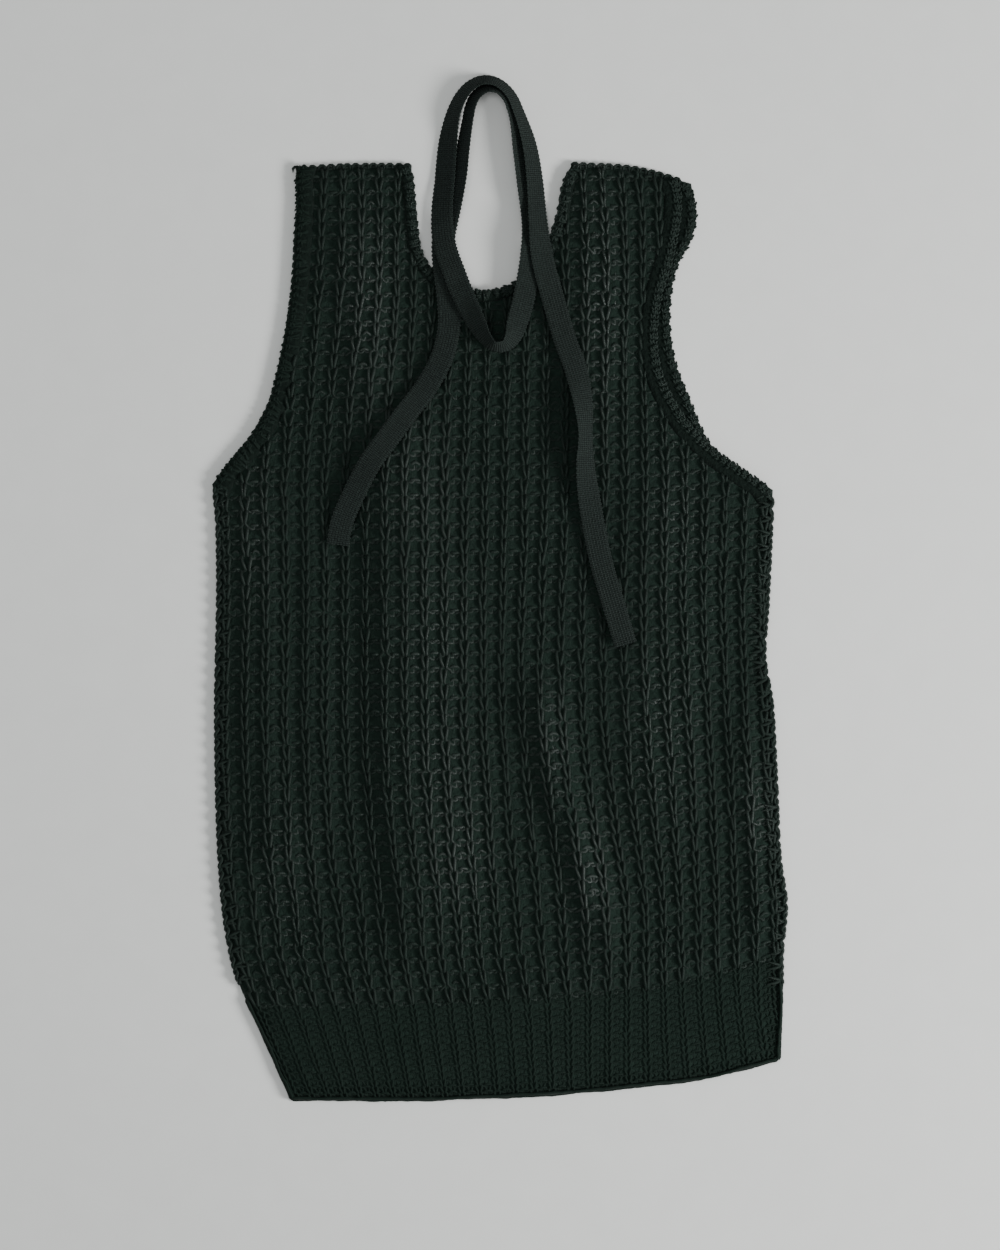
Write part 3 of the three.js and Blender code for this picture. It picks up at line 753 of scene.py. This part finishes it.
class Strands:
    """Tubes of yarn that are gathered up and then joined into one mesh."""

    def __init__(self):
        self.vertices = []
        self.quads = []
        self.uvs = []
        self.count = 0

    def add(self, paths, radius, sides=TUBE_SIDES, keep=None):
        """Tubes along paths, an array of strands, points and coordinates, with gaps where keep is false."""
        strands, points = paths.shape[:2]
        keep = np.ones((strands, points), bool) if keep is None else keep
        along = np.gradient(paths, axis=1)
        along /= np.linalg.norm(along, axis=2, keepdims=True) + 1e-9
        side = np.cross(along, (0.0, 0.0, 1.0))
        side /= np.linalg.norm(side, axis=2, keepdims=True) + 1e-9
        over = np.cross(side, along)
        beside = np.zeros_like(keep)
        beside[:, 1:-1] = keep[:, :-2] & keep[:, 2:]
        radii = (np.where(beside, 1.0, CUT_END) * radius)[:, :, None, None]
        angle = 2 * np.pi * np.arange(sides) / sides
        spokes = np.cos(angle)[:, None] * side[:, :, None] + np.sin(angle)[:, None] * over[:, :, None]
        self.vertices.append((paths[:, :, None] + radii * spokes).reshape(-1, 3))
        index = self.count + np.arange(strands * points * sides).reshape(strands, points, sides)
        self.count += index.size
        start, end = index[:, :-1], index[:, 1:]
        quads = np.stack([start, end, np.roll(end, -1, axis=2), np.roll(start, -1, axis=2)], axis=-1)
        steps = np.linalg.norm(np.diff(paths, axis=1), axis=2)
        run = np.concatenate([np.zeros((strands, 1)), np.cumsum(steps, axis=1)], axis=1)
        here = np.broadcast_to(run[:, :-1, None], start.shape)
        there = np.broadcast_to(run[:, 1:, None], start.shape)
        low = np.broadcast_to(np.arange(sides) / sides, start.shape)
        high = low + 1 / sides
        corners = [(here, low), (there, low), (there, high), (here, high)]
        uvs = np.stack([np.stack(pair, axis=-1) for pair in corners], axis=-2)
        whole = keep[:, :-1] & keep[:, 1:]
        self.quads.append(quads[whole].reshape(-1, 4))
        self.uvs.append(uvs[whole].reshape(-1, 4, 2))

    def add_grid(self, grid, closed=False):
        """A skin over an array of rings, points and coordinates."""
        rings, points = grid.shape[:2]
        index = self.count + np.arange(rings * points).reshape(rings, points)
        self.vertices.append(grid.reshape(-1, 3))
        self.count += index.size
        if closed:
            index = np.concatenate([index, index[:, :1]], axis=1)
        quads = np.stack([index[:-1, :-1], index[1:, :-1], index[1:, 1:], index[:-1, 1:]], axis=-1)
        u, v = np.meshgrid(np.arange(index.shape[0]) * 1.0, np.arange(index.shape[1]) * 1.0, indexing="ij")
        uv = np.stack([u, v], axis=-1)
        uvs = np.stack([uv[:-1, :-1], uv[1:, :-1], uv[1:, 1:], uv[:-1, 1:]], axis=-2)
        self.quads.append(quads.reshape(-1, 4))
        self.uvs.append(uvs.reshape(-1, 4, 2))

    def join(self, name, material):
        quads = np.concatenate(self.quads)
        return mesh_object(name, np.concatenate(self.vertices), quads, np.concatenate(self.uvs), material)


# The plain shells that carry the loops

def split_at_join(outline):
    """The parts of an outline above and below the line where the hem rib is knitted on."""
    above = outline[:, 1] > join_at(outline[:, 0])
    first = int(np.argmax(above & ~np.roll(above, 1)))
    turned = np.roll(outline, -first, axis=0)
    count = int(above.sum())
    body, hem = turned[:count], turned[count:]
    inner = JOIN[(JOIN[:, 0] > body[-1, 0] + JOIN_END_GAP) & (JOIN[:, 0] < body[0, 0] - JOIN_END_GAP)]
    return np.vstack([body, inner]), np.vstack([hem, inner[::-1]])


def shell_points(outline, depth, spacing, join_inset):
    """The flat points of a shell, its rim first, and how many of them are the rim."""
    _, left = bearings(np.vstack([outline[-1:], outline, outline[:1]]))
    at_join = np.abs(outline[:, 1] - join_at(outline[:, 0])) < ON_JOIN
    rim = outline + left[1:-1] * np.where(at_join, join_inset, SHELL_INSET)[:, None]
    columns = np.arange(GRID_X[0], GRID_X[-1], spacing)
    rows = np.arange(GRID_Y[0], GRID_Y[-1], spacing)
    inner = np.stack(np.meshgrid(columns, rows), axis=-1).reshape(-1, 2)
    low, high = outline.min(axis=0), outline.max(axis=0)
    within = np.all((inner > low) & (inner < high), axis=1)
    inner = inner[within & (depth(inner[:, 0], inner[:, 1]) > spacing + SHELL_INSET)]
    clear = np.abs(inner[:, 1] - join_at(inner[:, 0])) > spacing
    return np.vstack([rim, inner[clear]]), len(rim)


def shell(name, outline, join_inset, underside, thickness, depth, spacing):
    """A thin closed sheet over a surface. join_inset is its outline's inset where the hem joins on."""
    flat, rim_count = shell_points(outline, depth, spacing, join_inset)
    places = [Vector(p) for p in flat]
    ring = list(range(rim_count))
    points, _, faces, *_ = delaunay_2d_cdt(places, [], [ring], KEEP_INSIDE, WELD)
    points = np.array([tuple(p) for p in points])
    base = underside(points[:, 0], points[:, 1])
    top = np.column_stack([points, base + thickness])
    bottom = np.column_stack([points, base])
    count = len(points)
    edges = [edge for face in faces for edge in zip(face, face[1:] + face[:1])]
    paired = set(edges)
    sides = [(a + count, b + count, b, a) for a, b in edges if (b, a) not in paired]
    below = [tuple(i + count for i in reversed(face)) for face in faces]
    mesh = bpy.data.meshes.new(name)
    mesh.from_pydata((np.vstack([top, bottom]) * MM).tolist(), [], [tuple(f) for f in faces] + below + sides)
    mesh.polygons.foreach_set("use_smooth", np.ones(len(mesh.polygons), bool))
    return root_piece(name, mesh, GROUND)


def near_shell_base(x, y):
    return near_ground(x, y) + NEAR_SHELL_GAP


def far_shell_base(x, y):
    return np.full(np.shape(x), FAR_SHELL_BASE)


def make_shells(side, outline, surface):
    body, hem = split_at_join(outline)
    return (
        shell(side + "_panel_ground", body, BODY_JOIN_INSET, *surface),
        shell(side + "_hem_ground", hem, SHELL_INSET, *surface),
    )


near_surface = (near_shell_base, NEAR_SHELL_WALL, near_depth, NEAR_SHELL_STEP)
far_surface = (far_shell_base, FAR_SHELL_WALL, far_depth, FAR_SHELL_STEP)
near_shell, near_hem_shell = make_shells("near", NEAR_OUTLINE, near_surface)
far_shell, far_hem_shell = make_shells("far", FAR_OUTLINE, far_surface)


# The rows of loops

def stitch_period(half):
    """A whole stitch, from one purl wale's middle to just before the next one's."""
    rows = np.array(half)
    mirrored = rows[::-1] * (-1, 1, 1)
    return np.vstack([mirrored[:-1], rows[:-1]])


def no_sway(x, y):
    return 0 * x


def loop_rows(half, courses, heights, ground, uneven, seed, relief=1.0, sideways=no_sway):
    """The paths of knitted rows as an array of courses, points and coordinates."""
    """The paths of knitted rows as an array of courses, points and coordinates."""
    random = np.random.default_rng(seed)
    across, up, out = stitch_period(half).T
    shape = (courses, WALES + 2, 1)
    knit_share = np.clip(1 - np.abs(across) / FACE_HALF, 0, 1)
    purl_share = np.clip((np.abs(across) - PURL_FROM) / PURL_FADE, 0, 1)
    open_by = 1 + uneven * random.normal(0, OPEN_SPREAD, shape)
    shift = uneven * random.normal(0, SHIFT_SPREAD, shape)
    rise = uneven * random.normal(0, RISE_SPREAD, shape)
    purl_rise = uneven * random.normal(0, PURL_SPREAD, (courses, WALES + 3))
    beside = np.where(across > 0, 1, 0)
    purl = purl_rise[:, np.arange(WALES + 2)[:, None] + beside]
    number = np.arange(WALES + 2)[None, :, None] - 1
    narrow = np.where(np.abs(across) < FACE_HALF, across * open_by, across)
    u = number + 0.5 + narrow + shift * knit_share
    v = np.arange(courses)[:, None, None] + up + rise * knit_share + purl * purl_share
    z_out = out * relief + uneven * random.normal(0, OUT_SPREAD, shape) * knit_share
    low, high = heights(wale_x(u, WALE_GUIDE_HEIGHT + 0 * u))
    y = low + (high - low) * v / courses
    x = wale_x(u, y)
    x = x + sideways(x, y)
    z = np.maximum(ground(x, y) + z_out, LOWEST_LOOP)
    return np.stack([x, y, z], axis=-1).reshape(courses, -1, 3)


def body_heights(x):
    return join_at(x), BODY_TOP


def hem_heights(x):
    return hem_at(x) + HEM_ROWS_UP, join_at(x)


def near_body_middle(x, y):
    return near_ground(x, y) + LOOP_MIDDLE


def near_hem_middle(x, y):
    return near_ground(x, y) + LOOP_MIDDLE - HEM_LOOP_SINK


def far_middle(x, y):
    return np.full(np.shape(x), FAR_LOOP_MIDDLE)


def kept(paths, depth, band, edge_gap, join_side):
    """Which points of the rows lie on the cloth and on their own side of the join."""
    x, y = paths[:, :, 0], paths[:, :, 1]
    beyond = (y - join_at(x)) * join_side > -JOIN_OVERLAP
    return (depth(x, y) > edge_gap) & (band(x, y) > -BAND_OVERLAP) & beyond


def knit_pieces(name, paths, keep, radius, sides, material, parts=1):
    pieces = []
    for number, rows in enumerate(np.array_split(np.arange(len(paths)), parts)):
        strands = Strands()
        strands.add(paths[rows], radius, sides, keep[rows])
        pieces.append(strands.join(f"{name}_{number + 1}" if parts > 1 else name, material))
    return pieces


def make_near_knit():
    paths = loop_rows(
        FULL_LOOP, BODY_COURSES, body_heights, near_body_middle, uneven=1.0, seed=11, sideways=sway
    )
    keep = kept(paths, near_depth, near_band, edge_gap=1.6, join_side=1)
    return knit_pieces("near_panel_loops", paths, keep, YARN, TUBE_SIDES, BODY_YARN, parts=3)


def make_near_hem_knit():
    paths = loop_rows(
        FULL_LOOP, HEM_COURSES, hem_heights, near_hem_middle, uneven=0.6, seed=12, relief=0.28, sideways=sway
    )
    keep = kept(paths, near_depth, near_band, edge_gap=1.4, join_side=-1)
    return knit_pieces("near_hem_loops", paths, keep, HEM_YARN, TUBE_SIDES, DULL_YARN)


def make_far_knit():
    paths = loop_rows(PLAIN_LOOP, BODY_COURSES, body_heights, far_middle, uneven=0.8, seed=13, relief=0.35)
    keep = kept(paths, far_depth, far_band, edge_gap=1.4, join_side=1)
    return knit_pieces("far_panel_loops", paths, keep, FAR_YARN, FAR_TUBE_SIDES, BODY_YARN)


def make_far_hem_knit():
    paths = loop_rows(PLAIN_LOOP, HEM_COURSES, hem_heights, far_middle, uneven=0.5, seed=14, relief=0.35)
    keep = kept(paths, far_depth, far_band, edge_gap=1.4, join_side=-1)
    return knit_pieces("far_hem_loops", paths, keep, FAR_YARN, FAR_TUBE_SIDES, DULL_YARN)


# The yarn along the edges

def arcs(line, spacing, section, seed, scatter=ARC_SCATTER):
    """Short strands over an edge. The section's columns are into the cloth, along the edge, and height."""
    rng = np.random.default_rng(seed)
    at = np.arange(spacing / 2, travelled(line)[-1], spacing)
    at = at + rng.normal(0, scatter, len(at))
    places, along, left = (resampled(line, at, values) for values in (line, *bearings(line)))
    each = (len(at), 1)
    section = np.array(section, float)
    into = section[:, 0][None] * (1 + rng.normal(0, ARC_STRETCH, each))
    along_by = section[:, 1][None] + rng.normal(0, ARC_SHIFT, each)
    flat = places[:, None] + left[:, None] * into[:, :, None] + along[:, None] * along_by[:, :, None]
    height = section[:, 2][None] + rng.normal(0, ARC_LIFT, each)
    return np.concatenate([flat, np.broadcast_to(height, into.shape)[:, :, None]], axis=2)


def rounded_off(line):
    run = travelled(line)
    _, left = bearings(line)
    to_end = np.minimum(run, run[-1] - run)
    return line + left * (CORNER_CUT * (1 - smoothstep(to_end / CORNER_REACH)))[:, None]


def add_links(strands, line, seed):
    """Links of yarn along a side fold, a course to each."""
    rng = np.random.default_rng(seed)
    at = np.arange(LINK_END_GAP, travelled(line)[-1] - LINK_END_GAP, LINK_STEP)
    places = resampled(line, at)
    _, left = bearings(places)
    rare = at[::LINK_DRIFT_STEPS]
    for start, height in LINKS:
        drift = LINK_DRIFT * np.interp(at, rare, rng.normal(0, 1, len(rare)))
        phase = 2 * np.pi * (at / SIDE_COURSE + start) + drift
        into = LINK_INTO + LINK_SWING * np.cos(phase)
        path = np.column_stack([places + left * into[:, None], height + LINK_LIFT * np.sin(phase)])
        strands.add(path[None], YARN)


def add_rims(strands, line, rims, seed):
    rng = np.random.default_rng(seed)
    at = np.arange(0, travelled(line)[-1], RIM_STEP)
    places = resampled(line, at)
    _, left = bearings(places)
    window = np.ones(RIM_WINDOW) / math.sqrt(RIM_WINDOW)
    for into, height, radius in rims:
        wander = np.convolve(rng.normal(0, RIM_DRIFT, len(at) + RIM_WINDOW - 1), window, "valid")
        path = np.column_stack([places + left * (into + wander)[:, None], height + RIM_LIFT_SHARE * wander])
        strands.add(path[None], radius)


def hem_corner(line):
    return line[line[:, 1] < join_at(line[:, 0]) + HEM_CORNER_REACH]


def make_side_loops():
    sides = Strands()
    for number, edge in enumerate(("right_side", "left_side")):
        line = rounded_off(EDGES[edge])
        line = line[line[:, 1] > SIDE_END]
        for mirror in (1, -1):
            section = [(into, along * mirror, height) for into, along, height in SIDE_LOOP]
            sides.add(arcs(line, SIDE_COURSE, section, seed=21 + number + mirror), YARN)
        add_links(sides, line, seed=24 + number)
    return sides.join("side_fold_loops", BODY_YARN)


def make_shoulder_loops():
    shoulders = Strands()
    for number, edge in enumerate(("near_right_shoulder", "left_shoulder")):
        shoulders.add(arcs(EDGES[edge], SHOULDER_PITCH, SHOULDER_LOOP, seed=31 + number), SHOULDER_YARN)
        add_rims(shoulders, EDGES[edge], SHOULDER_RIMS, seed=35 + number)
    return shoulders.join("shoulder_loops", BODY_YARN)


def make_hem_loops():
    hem = Strands()
    lines = (EDGES["hem"], hem_corner(EDGES["left_side"]), hem_corner(EDGES["right_side"]))
    for number, line in enumerate(lines):
        add_rims(hem, line, HEM_RIMS, seed=41 + number)
    return hem.join("hem_edge_loops", DULL_YARN)


# The trims

def trim_arch(width, low, high, yarn):
    """The rounded way of a trim's rows from the cloth over to its edge. Columns: into the cloth, height."""
    top = high - yarn
    floor = low + yarn + TRIM_FLOOR_GAP
    rise = top - floor
    return [
        (width - yarn, floor + 0.3 * rise), (width * 0.84, floor + 0.8 * rise),
        (width * 0.62, top), (width * 0.36, top), (width * 0.14, floor + 0.78 * rise),
        (yarn * 1.1, floor + 0.3 * rise), (yarn * 1.6, floor),
    ]


def add_core(strands, line, arch, low):
    """The plain inside of a trim, just under its rows, in a darker copy of the ground material that paints
    the shade in the gaps between the rows.
    """
    _, left = bearings(line)
    bottom = low + CORE_FLOOR
    under = [(into, height - CORE_SINK) for into, height in arch[:-1]]
    rings = np.array([*under, (arch[-1][0], bottom), (arch[0][0], bottom)])
    flat = line[:, None] + left[:, None] * rings[None, :, :1]
    height = np.broadcast_to(rings[None, :, 1], flat.shape[:2])
    strands.add_grid(np.concatenate([flat, height[:, :, None]], axis=2), closed=True)


def add_braid(strands, line, top, yarn, seed):
    for number, (into, drop) in enumerate(BRAID_COLUMNS):
        for lean in (1, -1):
            section = [(into + lean * apart, along, top + drop - sink) for apart, along, sink in BRAID_STITCH]
            strands.add(arcs(line, BRAID_PITCH, section, seed + number, BRAID_SCATTER), yarn)


def make_trim(row, seed):
    node, edge, reach, pitch, yarn, bead, wave, wave_pitch = row
    width = NECK_TRIM if edge == "neck" else ARM_TRIM
    low, high = (NEAR_BASE, NEAR_TRIM_TOP) if node.endswith("front") else (0, FAR_TRIM_TOP)
    length = travelled(EDGES[edge])[-1]
    line = rounded_off(resampled(EDGES[edge], np.linspace(0, length, int(length / TRIM_STEP))))
    run = travelled(line)
    _, left = bearings(line)
    swell = 0.5 + 0.5 * np.cos(2 * np.pi * run / wave_pitch + WAVE_DRIFT * np.sin(run / WAVE_DRIFT_LENGTH))
    wavy = line + left * (wave * (0.5 - swell))[:, None]
    core = Strands()
    add_core(core, line, trim_arch(width, low, high, yarn), low)
    inside = core.join(node + "_core", SHADED_BAND_GROUND)
    strands = Strands()
    over = trim_arch(reach, low, high - ROWS_BELOW_TOP, yarn)
    lean = np.linspace(-TRIM_LEAN, TRIM_LEAN, len(over))
    for mirror in (1, -1):
        section = [(into, mirror * shift, height) for (into, height), shift in zip(over, lean)]
        strands.add(arcs(wavy, pitch * 2, section, seed + mirror, TRIM_SCATTER), yarn)
    add_braid(strands, wavy, high - BRAID_BELOW_TOP, bead, seed + 7)
    piece = strands.join(node + "_rows", DULL_YARN if edge == "left_armhole" else TRIM_YARN)
    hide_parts(node)
    return [piece, inside]


# The tie

def tie_stations():
    route = np.array(TIE_ROUTE, float)
    points, number = fine_curve(route[:, :2])
    at = np.linspace(0, travelled(points)[-1], TIE_STEPS + 1)
    places = resampled(points, at)
    t = resampled(points, at, number)[:, 0]
    turns = with_end_knots(route[:, 2:])
    span = np.minimum(t.astype(int), len(route) - 2)
    part = (t - span)[:, None]
    p0, p1, p2, p3 = (turns[span + k] for k in range(4))
    roll, lift = hermite(p1, p2, TIE_BEND * (p2 - p0), TIE_BEND * (p3 - p1), part).T
    return places, np.radians(roll), np.maximum(lift, 0)


def tie_support(places):
    """The highest cloth under a disc of the tie's half width, falling in a slope where the cloth ends."""
    reach = TIE_WIDTH / 2 + TIE_MARGIN
    angle = 2 * np.pi * np.arange(DISC_POINTS) / DISC_POINTS
    height = np.zeros(len(places))
    for radius in (0, reach / 2, reach):
        x = places[:, :1] + radius * np.cos(angle)
        y = places[:, 1:] + radius * np.sin(angle)
        cloth = NEAR_BASE + fold(x, y) + WALL + WALE_RISE + TIE_REST_GAP
        height = np.maximum(height, np.where(near_depth(x, y) > 0, cloth, 0).max(axis=1))
    fall = TIE_SLOPE * np.linalg.norm(places[1] - places[0])
    steps = np.abs(np.arange(len(places))[:, None] - np.arange(len(places)))
    return (height[None] - fall * steps).max(axis=1)


def tie_path():
    """The tape's middle line, its roll at each point of the line, and its length."""
    places, roll, lift = tie_stations()
    half_height = (TIE_WIDTH * np.sin(roll) + TIE_THICKNESS * np.cos(roll)) / 2
    middle = np.column_stack([places, tie_support(places) + TIE_CLEARANCE + lift + half_height])
    smooth, number = fine_curve(middle, TIE_SPAN_POINTS)
    length = travelled(smooth)[-1]
    at = np.linspace(0, length, round(length / TAPE_STEP))
    roll = np.interp(resampled(smooth, at, number)[:, 0], np.arange(len(roll)), roll)
    return resampled(smooth, at), roll, length


def tape_rings(path, roll):
    """The points round the tape at each point of its path, over its ribbed face and back under it."""
    _, left = bearings(path[:, :2])
    left = np.column_stack([left, np.zeros(len(left))])
    up = np.array((0.0, 0.0, 1.0))
    cos, sin = np.cos(roll)[:, None], np.sin(roll)[:, None]
    across = left * cos - up * sin
    out = left * sin + up * cos
    share = np.linspace(-0.5, 0.5, TAPE_COLUMNS)
    rounding = np.sqrt(np.clip(1 - (2 * np.abs(share)) ** TAPE_EDGE_POWER, 0, 1))
    ribs = TAPE_RIB_DEPTH * np.cos(2 * np.pi * TAPE_RIBS * (share + 0.5))
    scallop = 1 + TAPE_SCALLOP * np.cos(np.pi * np.arange(len(path)))
    half = TIE_THICKNESS / 2 * rounding
    middle = path[:, None] + across[:, None] * (share * TIE_WIDTH)[None, :, None] * scallop[:, None, None]
    swell = out[:, None] * (half + (ribs - TAPE_RIB_DEPTH) * rounding)[None, :, None]
    return np.concatenate([middle + swell, (middle - swell)[:, -2:0:-1]], axis=1)


def make_tie():
    path, roll, length = tie_path()
    rings = tape_rings(path, roll)
    strands = Strands()
    strands.add_grid(rings, closed=True)
    strands.uvs[-1] = strands.uvs[-1] * (TAPE_STEP, TIE_WIDTH / (TAPE_COLUMNS - 1))
    for end in (rings[0], rings[-1][::-1]):
        fold_in = np.stack([end, np.broadcast_to(end.mean(axis=0), end.shape)])
        strands.add_grid(fold_in[::-1], closed=True)
    piece = strands.join("neck_tie_tape", TAPE)
    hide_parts("neck_tie")
    return piece, length


near_knit = make_near_knit()
near_hem_knit = make_near_hem_knit()
far_knit = make_far_knit()
far_hem_knit = make_far_hem_knit()
side_loops = make_side_loops()
shoulder_loops = make_shoulder_loops()
hem_loops = make_hem_loops()
trims = [make_trim(row, seed=50 + 3 * number) for number, row in enumerate(TRIMS)]
tie, tie_length = make_tie()

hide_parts("front_panel")
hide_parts("front_hem_rib")
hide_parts("back_panel")
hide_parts("back_hem_rib")


def make_floor():
    mesh = bpy.data.meshes.new("floor")
    corners = [(x * FLOOR_REACH, y * FLOOR_REACH, 0) for x, y in ((-1, -1), (1, -1), (1, 1), (-1, 1))]
    mesh.from_pydata(corners, [], [(0, 1, 2, 3)])
    mesh.materials.append(floor_material())
    floor = new_object("floor", mesh)


def make_light(name, place, size, power, colour):
    data = bpy.data.lights.new(name, "AREA")
    data.shape = "DISK"
    data.size = size
    data.energy = power
    data.color = colour
    light = new_object(name, data)
    light.location = place
    light.rotation_euler = (Vector(LIGHT_TARGET) - Vector(place)).to_track_quat("-Z", "Y").to_euler()


def make_world():
    world = bpy.data.worlds.new("soft_room")
    world.use_nodes = True
    background = world.node_tree.nodes["Background"]
    background.inputs["Color"].default_value = WORLD_COLOUR
    background.inputs["Strength"].default_value = WORLD_STRENGTH
    bpy.context.scene.world = world


def make_camera():
    data = bpy.data.cameras.new("camera")
    data.lens = LENS
    data.clip_end = VIEW_DEPTH
    camera = new_object("camera", data)
    distance = PHOTO_HEIGHT * PIXEL * LENS / data.sensor_width
    camera.location = (*VIEW_MIDDLE, distance + NEAR_BASE * MM)
    bpy.context.scene.camera = camera


make_floor()
for row in LIGHTS:
    make_light(*row)
make_world()
make_camera()
